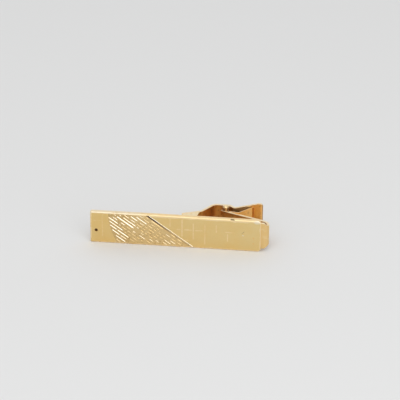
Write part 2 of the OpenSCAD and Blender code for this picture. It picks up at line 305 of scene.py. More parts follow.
@effect(COLOUR, gilt=(0.89, 0.62, 0.25, 1), pale=(0.86, 0.68, 0.34, 1), clouds=0.14, cloud_share=0.25,
        mottle=1.4, mottle_share=0.15, lean=0.5)
def gilt_tone(wiring, gilt, pale, clouds, cloud_share, mottle, mottle_share, lean):
    """Gilt in soft clouds of two tones, with a painted lighting gradient that pales it towards the fold and
    the upper edge.
    """
    place = wiring.place()
    cloudy = wiring.ramp(wiring.noise(place, clouds, 2, 0.55), 0.35, 0.65)
    mottled = wiring.ramp(wiring.noise(place, mottle, 3, 0.6), 0.3, 0.7)
    axes = wiring.axes(place)
    # Painted light: the gilt grows paler towards the fold and the upper edge.
    painted_light_slope = wiring.ramp(wiring.plus(axes["X"], wiring.times(axes["Z"], 1.6)), -10, 40)
    share = wiring.plus(wiring.times(painted_light_slope, lean), wiring.times(cloudy, cloud_share),
                        wiring.times(mottled, mottle_share))
    return wiring.mix(share, gilt, pale)


@effect(FLOAT, turn=0.0, run=0.2, across=9.0, cover=0.3)
def drawn_lines(wiring, turn, run, across, cover):
    """Fine lines in one direction: grain from drawing the sheet, or scratches from handling."""
    stretch = wiring.add("ShaderNodeCombineXYZ", {"X": run, "Y": across, "Z": across}).outputs[0]
    vector = wiring.vector("MULTIPLY", wiring.place(turn), stretch)
    return wiring.covered(wiring.noise(vector, 1.0, 2, 0.6), cover, 0.75, 0.4, 0.08)


@effect(FLOAT, patches=0.5, polished=0.25, rubbed=0.4)
def handling(wiring, patches, polished, rubbed):
    """Roughness that changes in soft clouds, where fingers and cloth have rubbed the gilt."""
    return wiring.ramp(wiring.noise(wiring.place(), patches, 4, 0.6), 0.3, 0.7, polished, rubbed)


@effect(FLOAT, spacing=2.0, cover=0.3)
def speckle(wiring, spacing, cover):
    """Small spots: pits in the gilt, or the punch marks of a stippled ground."""
    place = wiring.place()
    cells = wiring.add("ShaderNodeTexVoronoi", {"Vector": place, "Scale": spacing})
    spots = wiring.ramp(cells.outputs["Distance"], 0.18, 0.38, 1, 0)
    patches = wiring.noise(place, wiring.times(spacing, 0.37), 2, 0.5)
    return wiring.times(spots, wiring.covered(patches, cover, 0.72, 0.4, 0.06))


@effect(FLOAT, patches=0.7, cover=0.7)
def edge_wear(wiring, patches, cover):
    """Ragged patches broken up at a small scale: edges rubbed to paler metal, tarnish, and on the insides
    patches of painted shade.
    """
    return wiring.covered(wiring.noise(wiring.place(), patches, 3, 0.6), cover, 0.7, 0.45, 0.16)


@effect(FLOAT, waves=1.1, broad=0.5)
def face_border(wiring, waves, broad):
    """The border of the bar's face, partly rubbed wear and partly painted sheen below the lit top edge:
    wavy, broad along the top and narrow at the free end.
    """
    place = wiring.place()
    axes = wiring.axes(place)
    wave = wiring.times(wiring.maths("SUBTRACT", wiring.noise(place, 0.45, 3, 0.6), 0.5), waves)
    height = wiring.plus(axes["Z"], wave)
    reach = wiring.plus(axes["X"], wave)
    rise = wiring.ramp(axes["X"], -12, -6)
    begin = wiring.maths("SUBTRACT", BAR_HIGH.z / MM - 0.42, wiring.times(rise, broad))
    border = wiring.ramp(height, begin, wiring.plus(begin, 0.32))
    left = wiring.ramp(reach, BAR_LOW.x / MM + 0.2, BAR_LOW.x / MM + 0.55, 1, 0)
    right = wiring.ramp(reach, BAR_HIGH.x / MM - 0.4, BAR_HIGH.x / MM - 0.1)
    below = wiring.ramp(height, 0.3, 0.6, 1, 0)
    for side in (left, right, below):
        border = wiring.maths("MAXIMUM", border, side)
    return border


# How far the edge of a dark patch strays in millimetres, and how often it does so in each
RAGGED, RAGGED_SCALE = 0.35, 4.0
# Depth of the fine drawn lines
GRAIN = 2e-6


class Finish(Wiring):
    """A metal finish: one shader, and the shared effects and masks that feed it."""

    def __init__(self, name, gilt, pale, **given):
        self.material, self.shader = new_material(name)
        super().__init__(self.material.node_tree)
        self.shader.inputs["Metallic"].default_value = 1.0
        self.colour = self.use(gilt_tone, gilt=gilt, pale=pale, **given)
        self.heights = []

    def reach(self, low, high):
        """A mask that goes from 0 to 1 between two places, in millimetres from the free end."""
        start = BAR_LOW.x / MM
        return self.ramp(self.axes(self.place())["X"], start + low, start + high)

    def spot(self, centre, radius, soft, stretch=(1, 1, 1)):
        """A mask for a ragged patch about a point. Its radius and its soft edge are in millimetres."""
        place = self.place()
        gap = self.vector("SUBTRACT", place, tuple(value / MM for value in centre))
        gap = self.vector("LENGTH", self.vector("MULTIPLY", gap, stretch))
        strayed = self.plus(gap, self.times(self.noise(place, RAGGED_SCALE, 3, 0.6), RAGGED))
        return self.ramp(strayed, radius - soft, radius + soft, 1, 0)

    def corner(self):
        """A mask for the painted highlight on the upper corner next to the fold."""
        return self.spot((BAR_HIGH.x - 1.2 * MM, BAR_LOW.y, BAR_HIGH.z - 0.5 * MM), 0.75, 0.25, (0.6, 1, 1))

    def stain(self, mask, colour, share):
        """Puts a share of another colour where a mask says."""
        self.colour = self.mix(self.times(mask, share), self.colour, colour)
        return self

    # Rubbed wear and painted sheen along the face's border.
    def border(self, colour, share):
        return self.stain(self.use(face_border), colour, share)

    def wear(self, colour, cover, patches, share):
        return self.stain(self.use(edge_wear, patches=patches, cover=cover), colour, share)

    def spots(self, colour, spacing, cover, share, depth=0.0):
        mask = self.use(speckle, spacing=spacing, cover=cover)
        if depth:
            self.heights.append((mask, -depth))
        return self.stain(mask, colour, share)

    def rub(self, polished, rubbed, patches=0.5):
        mask = self.use(handling, patches=patches, polished=polished, rubbed=rubbed)
        self.join(mask, self.shader.inputs["Roughness"])
        return self

    def lines(self, turn, cover, run, across, depth=GRAIN):
        mask = self.use(drawn_lines, turn=turn, run=run, across=across, cover=cover)
        self.heights.append((mask, -depth))
        return self

    def dimples(self, scale, depth):
        """Low waves in the sheet."""
        self.heights.append((self.noise(self.place(), scale, 2, 0.5), depth))
        return self

    def done(self):
        self.join(self.colour, self.shader.inputs["Base Color"])
        normal = None
        for height, depth in self.heights:
            links = {"Height": height, "Distance": abs(depth), "Strength": 1.0}
            if normal:
                links["Normal"] = normal
            normal = self.add("ShaderNodeBump", links, invert=depth < 0).outputs["Normal"]
        if normal:
            self.join(normal, self.shader.inputs["Normal"])
        return self.material


# The groove's slope, which the grain of its polished facets follows
CUT_TURN = 0.622
# Where the nick in the upper edge is: along the bar and below the edge, in millimetres
NICK = ((44.35, 0.05), (44.8, 0.14), (45.2, 0.3))
# In millimetres from the free end: where the painted sheen on the thumb pad's inside fades in and out, and
# where the pad's lip turns up and gets painted shade
PAD_SHEEN_START, PAD_SHEEN_END = (43.0, 44.5), (50.0, 48.5)
PAD_LIP = (52.75, 52.95)


def face_gilt(colours):
    """The plain part of the bar's face, with its border of rubbed wear and painted sheen, and a painted
    highlight at the corner next to the fold.
    """
    finish = Finish("face gilt", colours.gilt, colours.pale_gilt, cloud_share=0.3, lean=0.5)
    # Painted sheen and rubbed wear along the border, and a painted highlight at the corner next to the fold.
    finish.border(colours.worn_gilt, 0.95).stain(finish.corner(), colours.cut_gilt, 0.7)
    finish.spots(colours.tarnish, 0.9, 0.12, 0.5, 3e-6)
    finish.rub(0.3, 0.42).lines(0.12, 0.12, 0.15, 7).lines(1.1, 0.08, 0.2, 8)
    return finish.dimples(0.22, 1.2e-5).done()


def fine_gilt(colours):
    """The faint check lines, and the lit facets of the worn strokes and the faint cuts."""
    finish = Finish("fine cut gilt", colours.gilt, colours.worn_gilt, cloud_share=0.5, mottle_share=0.4,
                    lean=0.3)
    # Painted sheen and rubbed wear along the face's border.
    return finish.border(colours.worn_gilt, 0.85).rub(0.3, 0.45).lines(0.0, 0.2, 0.2, 8).done()


def field_gilt(colours):
    """The stippled ground of the hatched field: darker where the cuts lie close."""
    finish = Finish("field gilt", colours.field_shade, colours.field_gilt, cloud_share=0.3, mottle=2.2,
                    mottle_share=0.35, lean=0)
    finish.stain(finish.reach(10.0, 14.5), colours.field_gilt, 0.75)
    finish.spots(colours.field_shade, 1.3, 0.6, 0.9, 2e-5).spots(colours.worn_gilt, 1.1, 0.5, 0.7, 2e-5)
    # Painted sheen and rubbed wear along the face's border.
    return finish.border(colours.worn_gilt, 0.6).rub(0.42, 0.6, 1.2).dimples(2.4, 2.5e-5).done()


def cut_gilt(colours):
    """The polished facets of the cuts, pale partly from their polish and partly as a painted highlight."""
    finish = Finish("cut gilt", colours.worn_gilt, colours.cut_gilt, cloud_share=0.75, mottle=1.1,
                    mottle_share=0.5, lean=0.1)
    return finish.rub(0.16, 0.28, 1.4).lines(CUT_TURN, 0.25, 0.3, 14).done()


def flank_gilt(colours):
    """The steep flanks of the cuts, darkened with painted shade."""
    finish = Finish("flank gilt", colours.pin_shade, colours.field_shade, cloud_share=0.5, lean=0)
    return finish.rub(0.35, 0.5, 1.2).lines(CUT_TURN, 0.3, 0.3, 12).done()


def groove_grime(colours):
    """The dark floor of the groove: darkest near the top, and paler lower down."""
    finish = Finish("groove grime", colours.grime, colours.grime, lean=0)
    finish.stain(finish.reach(19.5, 27.0), colours.field_gilt, 0.7).wear(colours.field_shade, 0.25, 1.6, 0.5)
    finish.shader.inputs["Metallic"].default_value = 0.3
    return finish.rub(0.5, 0.75, 1.5).dimples(3.0, 1e-5).done()


def rim_gilt(colours):
    """The bar's rounded rim, rubbed pale, with painted sheen and painted highlights along its top and at the
    corner next to the fold, and one dark nick in its top edge.
    """
    finish = Finish("rim gilt", colours.gilt, colours.pale_gilt, cloud_share=0.4, lean=0.5)
    # Painted sheen that pales the rim from 12 mm on, and rubbed wear on its edges.
    finish.stain(finish.reach(12.0, 20.0), colours.worn_gilt, 0.8).wear(colours.worn_gilt, 0.8, 0.6, 0.9)
    top = BAR_HIGH.z / MM
    # Painted highlight on the rim's upper part nearer the free end.
    upper = finish.ramp(finish.axes(finish.place())["Z"], top - 1.0, top - 0.5)
    finish.stain(finish.times(finish.reach(20.0, 12.0), upper), colours.cut_gilt, 0.6)
    # Painted highlight at the corner next to the fold.
    finish.stain(finish.corner(), colours.cut_gilt, 0.9)
    for reach, drop in NICK:
        nick = finish.spot(BAR_LOW + Vector((reach * MM, 0.3 * MM, BAR_SIZE.z - drop * MM)), 0.46, 0.06)
        finish.stain(nick, colours.grime, 0.85)
        finish.heights.append((nick, -4e-5))
    finish.spots(colours.tarnish, 1.1, 0.2, 0.45, 3e-6)
    return finish.rub(0.42, 0.58, 0.8).lines(0.0, 0.3, 0.12, 10).done()


def back_gilt(colours):
    """The bar's hollow back and its lips, with drawn grain and tarnish."""
    finish = Finish("back gilt", colours.deep_gilt, colours.gilt, cloud_share=0.6, lean=0)
    finish.wear(colours.tarnish, 0.5, 0.35, 0.5).spots(colours.grime, 1.4, 0.15, 0.4)
    return finish.rub(0.25, 0.42, 0.7).lines(0.0, 0.5, 0.08, 11, 3e-6).lines(0.3, 0.1, 0.2, 9).done()


def pin_gilt(colours):
    """The riveted pin: a soft, pale, peened head."""
    finish = Finish("pin gilt", colours.worn_gilt, colours.pale_gilt, cloud_share=0.4, mottle=2.5, lean=0)
    finish.spots(colours.tarnish, 2.2, 0.35, 0.5, 8e-6)
    return finish.rub(0.38, 0.55, 1.5).dimples(2.6, 3e-5).done()


def outer_gilt(colours, bar, name):
    """The shown side of the strap, lever or spring, with painted shade where the bar's hole shows the strap.
    """
    finish = Finish(name + " gilt", colours.deep_gilt, colours.gilt, cloud_share=0.5, mottle_share=0.2,
                    lean=0)
    finish.wear(colours.worn_gilt, 0.35, 0.5, 0.4).spots(colours.tarnish, 1.2, 0.2, 0.5, 3e-6)
    hole = BAR_LOW + Vector((bar.hole_reach, bar.sheet, bar.hole_height))
    # Painted shade where the bar's hole shows the strap.
    finish.stain(finish.spot(hole, 0.9, 0.1), colours.grime, 0.95)
    return finish.rub(0.3, 0.44, 0.7).lines(0.0, 0.4, 0.1, 10).lines(0.5, 0.1, 0.2, 9).done()


def inner_gilt(colours, name, lip_shade):
    """The inside of the strap, lever or spring, in a deeper orange gilt that is partly tarnish and partly
    painted shade.
    """
    finish = Finish(name + " inside", colours.tarnish, colours.deep_gilt, cloud_share=0.25,
                    mottle_share=0.15, lean=0)
    # Patches of painted shade, and spots of dirt.
    finish.wear(colours.pin_shade, 0.4, 0.9, 0.35).spots(colours.grime, 1.3, 0.25, 0.35)
    if lip_shade:
        # Painted sheen on the thumb pad's inside, and painted shade on its lip.
        pad_sheen = finish.maths("MINIMUM", finish.reach(*PAD_SHEEN_START), finish.reach(*PAD_SHEEN_END))
        finish.stain(pad_sheen, colours.worn_gilt, 0.9)
        finish.stain(finish.reach(*PAD_LIP), colours.pin_shade, lip_shade)
    return finish.rub(0.3, 0.45, 0.7).lines(0.0, 0.35, 0.1, 10, 3e-6).done()


def edge_gilt(colours, name, lip_shade, shade_reach):
    """The cut and softened edges, rubbed pale, with painted shade round the pin and on the pad's lip."""
    finish = Finish(name + " edge", colours.gilt, colours.pale_gilt, cloud_share=0.4, lean=0.2)
    finish.wear(colours.worn_gilt, 0.9, 0.8, 0.9).wear(colours.cut_gilt, 0.7, 1.3, 0.5)
    finish.spots(colours.tarnish, 1.6, 0.2, 0.4)
    pin = Vector(frame["record"]["behaviour"]["joints"][0]["pos_m"])
    # Painted shade round the pin, where the lever's ears shade the edges.
    shaded = finish.spot(pin - Vector((shade_reach, 0, 0)), 1.4, 0.2, (1, 1, 0))
    finish.stain(shaded, colours.pin_shade, 0.8)
    if lip_shade:
        # Painted shade on the pad's lip.
        finish.stain(finish.reach(*PAD_LIP), colours.pin_shade, lip_shade)
    return finish.rub(0.3, 0.45, 0.9).lines(0.0, 0.3, 0.2, 12).done()


# Material slots of the engraved bar, and the finishes in them
PLAIN, FIELD, BRIGHT, SHADED_FLANK, DARK_CUT, FINE, RIM, BACK = range(8)
BAR_FINISHES = (face_gilt, field_gilt, cut_gilt, flank_gilt, groove_grime, fine_gilt, rim_gilt, back_gilt)
# Steps round the front edge of the rim and as many round its back edge, round each corner of the
# outline, along its long sides and its ends, down the hatched field's border, and round the hole
RIM_STEPS = 10
CORNER_STEPS = 10
SIDE_STEPS = 60
END_STEPS = 12
BORDER_STEPS = 14
HOLE_STEPS = 24
# A triangle whose middle is nearer to the hole's centre than this share of its radius is left out
HOLE_SHARE = 0.985
# How the face is filled: inside its outline only, with points this close in millimetres joined
INSIDE, JOINED = 1, 1e-5
# Shares of the corner next to the fold: where the deep rim has ended, and over how much it fades
FADE_END, FADE_RUN = 0.85, 0.4


def clamp(value, low, high):
    """Keeps a value between two others."""
    return max(low, min(high, value))


def spread(low, high, steps):
    """Evenly spaced values, both ends included."""
    return [low + (high - low) * step / steps for step in range(steps + 1)]


def rim_fade(part):
    """Share of the deep rim along the corner next to the fold: it ends late in the corner."""
    ease = clamp((FADE_END - part) / FADE_RUN, 0, 1)
    return ease * ease * (3 - 2 * ease)


def thin_out(spaced, marks):
    """Sorted places: all the marks, and the spaced ones that keep clear of them."""
    clear = 0.15 * MM
    kept = [place for place in spaced if all(abs(place - mark) > clear for mark in marks)]
    return sorted(set(kept + marks))


def section(*corners, width=MM, depth=MM):
    """A cut's section, from its corners' offsets and depths in millimetres, or as shares of a size."""
    return [(across * width, down * depth) for across, down in corners]


def at_x(origin, along, reach):
    """Where a slanting line meets an upright one."""
    return origin + along * ((reach - origin.x) / along.x)


def at_height(origin, along, height):
    """Where a slanting line meets a level one."""
    return origin + along * ((height - origin.y) / along.y)


class Cut:
    """A straight engraved cut, run from its upper or left end. The profile lists its break lines
    as offset and depth. A taper of zero runs the cut off the edge at that end."""

    def __init__(self, start, end, profile, slots, tapers=(0, 0)):
        self.start, self.end = start, end
        self.length = (end - start).length
        self.along = (end - start) / self.length
        self.side = Vector((-self.along.y, self.along.x))
        self.profile, self.slots, self.tapers = profile, slots, tapers
        self.overrun = [0 if taper else abs(profile[0][0]) * 2 for taper in tapers]

    def share(self, reach):
        """How much of the full profile the cut has at a distance from its start."""
        lead, tail = self.tapers
        near = reach / lead if lead else 1
        far = (self.length - reach) / tail if tail else 1
        return max(0, min(1, near, far))

    def facet(self, point):
        """The number of the profile's facet at a point, with its depth there, or None."""
        gap = point - self.start
        reach, offset = gap.dot(self.along), gap.dot(self.side)
        if not -self.overrun[0] - TINY <= reach <= self.length + self.overrun[1] + TINY:
            return None
        share = self.share(reach)
        for number, ((low, start), (high, end)) in enumerate(zip(self.profile, self.profile[1:])):
            if share > 0 and low * share - TINY <= offset <= high * share + TINY:
                part = (offset / share - low) / (high - low)
                return number, share * (start + part * (end - start))
        return None

    def rows(self):
        """The break points across the cut, at each end and where its tapers end."""
        lead, tail = self.tapers
        rows = [[self.start] if lead else self.crossing(self.start.y)]
        rows += [self.across(reach) for reach in (lead, self.length - tail) if 0 < reach < self.length]
        return rows + [[self.end] if tail else self.crossing(self.end.y)]

    def across(self, reach):
        middle = self.start + self.along * reach
        return [middle + self.side * offset for offset, depth in self.profile]

    def crossing(self, height):
        """Where each break line meets a level line."""
        return [at_height(point, self.along, height) for point in self.across(0)]


def groove_frame(bar):
    """The groove's axis: its upper point, its direction and its normal."""
    top = Vector((bar.groove_top, BAR_SIZE.z))
    along = (Vector((bar.groove_foot, 0)) - top).normalized()
    return top, along, Vector((-along.y, along.x))


# Where the hatched field starts at the upper edge, and how much its border curves away lower down
HATCH_START = 5.75
HATCH_CURVE = 0.028


def hatch_border(bar, height):
    """Where the hatched field starts at a height: a curve that leans to the fold lower down."""
    drop = (BAR_SIZE.z - bar.edge_radius - height) / MM
    return (HATCH_START + HATCH_CURVE * drop * drop) * MM


# The groove's section, from the hatched field's side: a dark floor and a bright cut beyond it
GROOVE = section((-0.34, 0), (-0.27, 0.09), (0.15, 0.12), (0.22, 0.03), (0.34, 0.09), (0.4, 0))
# The groove's flanks are darkened with painted shade.
GROOVE_SLOTS = (SHADED_FLANK, DARK_CUT, SHADED_FLANK, BRIGHT, DARK_CUT)
# The faint cuts beside the groove: section, distance, where they run along the bar in millimetres,
# and the tapers of their upper and lower ends
FAINT = section((-0.16, 0), (0.08, 0.11), (0.14, 0))
FAINT_GAP = 0.56 * MM
FAINT_RUNS = ((17.7, 18.6), (19.2, 23.2), (25.4, 26.9), (27.5, 29.0))
FAINT_TAPERS = 0.4 * MM, 0.6 * MM
# The scratch near the fold's end, and the burr below it
SCRATCH = section((-0.11, 0), (0, 0.1), (0.11, 0))
BURR = section((-0.12, 0), (0.08, 0.06), (0.12, 0))


def stroke(line, near, far, *looks):
    """A cut along a slanting line, between two places along the bar."""
    return Cut(at_x(*line, near), at_x(*line, far), *looks)


def groove_cuts(bar):
    """The strong groove, and the faint cuts between it and the hatch."""
    top, along, side = groove_frame(bar)
    ends = [at_height(top, along, height) for height in (BAR_SIZE.z - bar.edge_radius, bar.edge_radius)]
    cuts = [Cut(*ends, GROOVE, GROOVE_SLOTS)]
    line = top - side * FAINT_GAP, along
    for near, far in FAINT_RUNS:
        cuts.append(stroke(line, near * MM, far * MM, FAINT, (FINE, SHADED_FLANK), FAINT_TAPERS))
    return cuts


def free_cut(start, end, profile, slots, taper):
    """A cut between two points of the face, with the same taper at both ends, in millimetres."""
    return Cut(Vector(start) * MM, Vector(end) * MM, profile, slots, (taper * MM, taper * MM))


def scratch_cuts():
    """A short deep scratch near the fold's end, with a bright burr below it."""
    return [free_cut((48.4, 6.8), (47.6, 5.85), SCRATCH, (DARK_CUT, DARK_CUT), 0.2),
            free_cut((47.8, 5.5), (48.3, 5.3), BURR, (BRIGHT, SHADED_FLANK), 0.1)]


# The hatch's strong strokes: their section's corners as shares of width and depth, and their tapers
STROKE_SHARES = (-0.6, 0), (0.4, 1), (1.2, 0)
STROKE_TAPERS = 0.35 * MM, 0.5 * MM
# Their line's number from the corner to the groove, where they start and end along the bar in
# millimetres, and their force
STROKES = (
    (0, 8.1, 11.2, 0.85), (1, 6.9, 9.4, 0.85), (1, 9.5, 11.6, 0.55),
    (2, 6.2, 8.6, 0.85), (2, 8.6, 12.2, 1.0), (3, 6.0, 10.5, 0.75),
    (4, 5.8, 8.9, 1.0), (4, 9.0, 9.7, 0.5), (5, 7.1, 8.8, 0.55), (5, 9.6, 11.2, 0.65),
    (5, 13.4, 14.5, 0.5), (5, 15.4, 17.4, 0.6), (6, 7.5, 8.3, 0.5), (6, 8.4, 13.8, 1.3),
    (6, 16.0, 17.1, 0.4), (6, 18.6, 19.9, 0.45), (7, 9.2, 10.0, 0.5), (7, 10.4, 14.5, 0.85),
    (7, 14.6, 15.6, 0.4), (7, 20.4, 21.8, 0.4), (8, 10.7, 12.5, 0.65), (8, 12.7, 14.3, 0.6),
    (8, 22.9, 24.3, 0.45), (9, 12.8, 15.1, 0.8), (9, 15.6, 17.0, 0.5), (9, 23.3, 25.5, 0.5),
    (10, 14.5, 18.0, 0.75), (10, 25.2, 27.0, 0.45), (11, 15.6, 16.6, 0.4), (11, 23.9, 25.3, 0.5),
)
# The hatch's lines, counted like those of the strokes: the first holds worn strokes only
FIRST_LINE, LAST_LINE = -1, 11
# The worn strokes between the strong ones: section, taper at both ends, their shortest and longest,
# the narrowest and widest gap between them, in millimetres, and the seed of the draws
WORN = section((-0.15, 0), (0.06, 0.085), (0.21, 0))
WORN_TAPER = 0.3 * MM
WORN_LENGTHS = (0.8, 2.0)
WORN_GAPS = (0.15, 0.5)
WORN_SEED = 11
# The steps in which a line is followed to the hatched field's border
SEARCH_STEP = 0.1 * MM
# The faint check lines: their section's corners as shares of half the width and of the depth, and
# for each upright or level line its place, low end and high end in millimetres, and force
CHECK_SHARES = (-1, 0), (-0.5, 1), (0.5, 1), (1, 0)
UPRIGHTS = (
    (3.9, 2.2, 9.9, 0.8), (25.2, 6.9, 9.9, 0.8), (28.95, 3.7, 9.9, 1.0), (32.5, 2.8, 8.7, 0.8),
    (36.1, 1.4, 8.6, 0.8), (39.7, 5.8, 8.6, 0.8), (43.2, 2.8, 5.7, 0.7),
)
LEVELS = (
    (6.25, 27.2, 28.5, 0.8), (6.25, 29.5, 32.1, 0.9), (6.2, 33.0, 35.6, 0.8), (6.2, 42.3, 45.6, 0.7),
    (7.7, 0.9, 3.5, 0.5), (2.6, 29.6, 31.6, 0.6),
)


def hatch_line(bar, number):
    """A point and the direction of one of the hatch's lines, which run parallel to the groove."""
    top, along, side = groove_frame(bar)
    return top - side * (bar.hatch_gap + bar.hatch_pitch * (LAST_LINE - number)), along


def hatch_cuts(bar):
    """The hatch's strong strokes, of changing force along each line."""
    cuts = []
    for number, near, far, force in STROKES:
        profile = section(*STROKE_SHARES, width=bar.hatch_width * force, depth=bar.hatch_depth * force)
        line = hatch_line(bar, number)
        cuts.append(stroke(line, near * MM, far * MM, profile, (BRIGHT, SHADED_FLANK), STROKE_TAPERS))
    return cuts


def worn_cuts(bar):
    """The shallow, worn strokes that fill the rest of the hatch's lines."""
    draw = random.Random(WORN_SEED)
    clear = WORN_TAPER
    cuts = []
    for number in range(FIRST_LINE, LAST_LINE + 1):
        line = hatch_line(bar, number)
        taken = [(near * MM, far * MM) for other, near, far, force in STROKES if other == number]
        reach = at_height(*line, BAR_SIZE.z - bar.edge_radius - clear).x
        while hatch_border(bar, at_x(*line, reach).y) > reach - clear:
            reach += SEARCH_STEP
        end = at_height(*line, bar.edge_radius + clear).x
        while reach < end - WORN_LENGTHS[0] * MM:
            far = min(end, reach + draw.uniform(*WORN_LENGTHS) * MM)
            busy = [stop for start, stop in taken if start - clear < far and stop + clear > reach]
            if busy:
                reach = max(busy) + clear
                continue
            cuts.append(stroke(line, reach, far, WORN, (FINE, SHADED_FLANK), (WORN_TAPER, WORN_TAPER)))
            reach = far + draw.uniform(*WORN_GAPS) * MM
    return cuts


def check_cuts(bar):
    """The fine check lines on both sides of the hatched field."""
    runs = [((place, high), (place, low), force) for place, low, high, force in UPRIGHTS]
    runs += [((low, place), (high, place), force) for place, low, high, force in LEVELS]
    cuts = []
    for start, end, force in runs:
        profile = section(*CHECK_SHARES, width=bar.check_width / 2 * force, depth=bar.check_depth)
        cuts.append(free_cut(start, end, profile, (FINE, FINE, FINE), 0.3))
    return cuts


class BarShell:
    """Builds the engraved bar as one closed mesh: a swept rim, an engraved face and a hollow back."""

    def __init__(self, bar):
        self.bar = bar
        self.length, self.depth, self.width = BAR_SIZE
        self.cuts = groove_cuts(bar) + hatch_cuts(bar) + worn_cuts(bar) + scratch_cuts() + check_cuts(bar)
        self.mesh = bmesh.new()

    def vertex(self, reach, depth, height):
        return self.mesh.verts.new(BAR_LOW + Vector((reach, depth, height)))

    def engraving(self, point):
        """Depth of the engraving at a point of the face."""
        found = [cut.facet(point) for cut in self.cuts]
        return max([depth for number, depth in filter(None, found)], default=0)

    def edge_radius(self, share):
        """The rim's edges are round along the rims and crisper next to the fold."""
        crisp = 2 * self.bar.burr
        return crisp + share * (self.bar.edge_radius - crisp)

    def profile(self, share):
        """The rim's section as inset, depth, and share of the engraving, from the face inwards.
        At share 1 it is the deep rim with its lip, and at share 0 the plain edge of the face sheet."""
        bar = self.bar
        deep = bar.sheet + share * (self.depth - bar.sheet)
        radius = self.edge_radius(share)
        lip_end = bar.sheet + share * bar.lip
        lip_face = deep - share * bar.lip_sheet
        soft = bar.burr * share
        turns = spread(0, math.pi / 2, RIM_STEPS)
        quarter = [(radius * (1 - math.sin(turn)), radius * (1 - math.cos(turn))) for turn in turns]
        points = [(inset, depth, 1 - step / RIM_STEPS) for step, (inset, depth) in enumerate(quarter)]
        points += [(depth, deep - inset, 0) for inset, depth in quarter]
        points += [(lip_end - soft, deep, 0), (lip_end, deep - soft, 0)]
        points += [(lip_end, lip_face + soft, 0), (lip_end - soft, lip_face, 0)]
        return points + [(bar.sheet, lip_face, 0), (bar.sheet, bar.sheet, 0)]

    def stations(self):
        """Pairs of a function from an inset to a point of the outline, and the rim's share there."""
        bar, length, width = self.bar, self.length, self.width
        free, fold = bar.free_corner, bar.fold_corner
        lower, upper = [hatch_border(bar, height) for height in (bar.edge_radius, width - bar.edge_radius)]
        marks = [[lower], [upper]]
        for cut in self.cuts:
            rows = cut.rows()
            for taper, row in zip(cut.tapers, (rows[0], rows[-1])):
                if not taper:
                    marks[row[0].y > width / 2] += [point.x for point in row]

        def straight(x, z):
            """A station on a straight side: the lips meet in a mitre at its corners."""
            return lambda inset: Vector((clamp(x, inset, length - inset), clamp(z, inset, width - inset)))

        spaced = spread(free, length - fold, SIDE_STEPS)
        rows = [(straight(x, 0), 1) for x in reversed(thin_out(spaced, marks[0]))]
        rows += self.corner(free, free, free, 270, lambda part: 1)
        rows += [(straight(0, z), 1) for z in spread(free, width - free, END_STEPS)]
        rows += self.corner(free, width - free, free, 180, lambda part: 1)
        rows += [(straight(x, width), 1) for x in thin_out(spaced, marks[1])]
        rows += self.corner(length - fold, width - fold, fold, 90, rim_fade)
        rows += [(straight(length, z), 0) for z in spread(width - fold, fold, END_STEPS)]
        return rows + self.corner(length - fold, fold, fold, 0, lambda part: rim_fade(1 - part))

    def corner(self, x, z, radius, start, share):
        """Stations round a corner of the outline, a quarter turn on from start, without its two ends."""
        rows = []
        diagonal = math.radians(start - 45)
        inwards = -Vector((math.cos(diagonal), math.sin(diagonal))) * math.sqrt(2)
        for step in range(1, CORNER_STEPS):
            turn = math.radians(start - 90 * step / CORNER_STEPS)
            out = Vector((math.cos(turn), math.sin(turn)))

            def point(inset, out=out):
                if inset < radius:
                    return Vector((x, z)) + out * (radius - inset)
                return Vector((x, z)) + inwards * (inset - radius)
            rows.append((point, share(step / CORNER_STEPS)))
        return rows

    def rim(self):
        """Sweeps the rim's section round the outline and returns its rows of vertices."""
        rows = []
        for station, share in self.stations():
            radius = self.edge_radius(share)
            engraved = self.engraving(station(radius))
            row = []
            for inset, depth, force in self.profile(share):
                push = engraved * force / radius
                if push:
                    inset, depth = inset + push * (radius - inset), depth + push * (radius - depth)
                place = station(inset)
                row.append(self.vertex(place.x, depth, place.y))
            rows.append(row)
        for row, following in zip(rows, rows[1:] + rows[:1]):
            for number in range(len(row) - 1):
                corners = row[number], row[number + 1], following[number + 1], following[number]
                self.mesh.faces.new(corners).material_index = RIM if number < 2 * RIM_STEPS + 1 else BACK
        return rows

    def flat_point(self, vertex):
        place = vertex.co - BAR_LOW
        return Vector((place.x, place.z))

    def face_slot(self, point):
        for cut in self.cuts:
            found = cut.facet(point)
            if found:
                return cut.slots[found[0]]
        top, along, side = groove_frame(self.bar)
        inside = (point - top).dot(side) < GROOVE[0][0] + TINY
        return FIELD if inside and point.x > hatch_border(self.bar, point.y) else PLAIN

    def ring(self, radius, depth):
        """A circle of vertices round the hole's middle."""
        reach, height = self.bar.hole_reach, self.bar.hole_height
        return [self.vertex(reach + radius * math.cos(turn), depth, height + radius * math.sin(turn))
                for turn in spread(0, math.tau, HOLE_STEPS)[:-1]]

    def fill(self, loop, ring, radius, place, chains, slot):
        """Fills a face between its loop and the hole with triangles whose edges follow the chains."""
        hole = Vector((self.bar.hole_reach, self.bar.hole_height))
        points = [self.flat_point(vertex) for vertex in loop]
        edges = [(number, (number + 1) % len(loop)) for number in range(len(loop))]
        circle = [self.flat_point(vertex) for vertex in ring]
        for chain in [*chains, circle + circle[:1]]:
            edges += [(len(points) + number, len(points) + number + 1) for number in range(len(chain) - 1)]
            points += chain
        made = delaunay_2d_cdt([point / MM for point in points], edges, [], INSIDE, JOINED)

        def corner(point, source):
            if source < len(loop):
                return loop[source]
            known = [vertex for vertex, other in zip(ring, circle) if (point - other).length < SAME_PLACE]
            return known[0] if known else place(point)

        corners = []
        for point, sources in zip(made[0], made[3]):
            corners.append(corner(point * MM, min(sources, default=len(loop))))
        for triangle in made[2]:
            middle = sum((made[0][number] for number in triangle), Vector((0, 0))) * MM / len(triangle)
            if (middle - hole).length > radius * HOLE_SHARE:
                self.mesh.faces.new([corners[number] for number in triangle]).material_index = slot(middle)

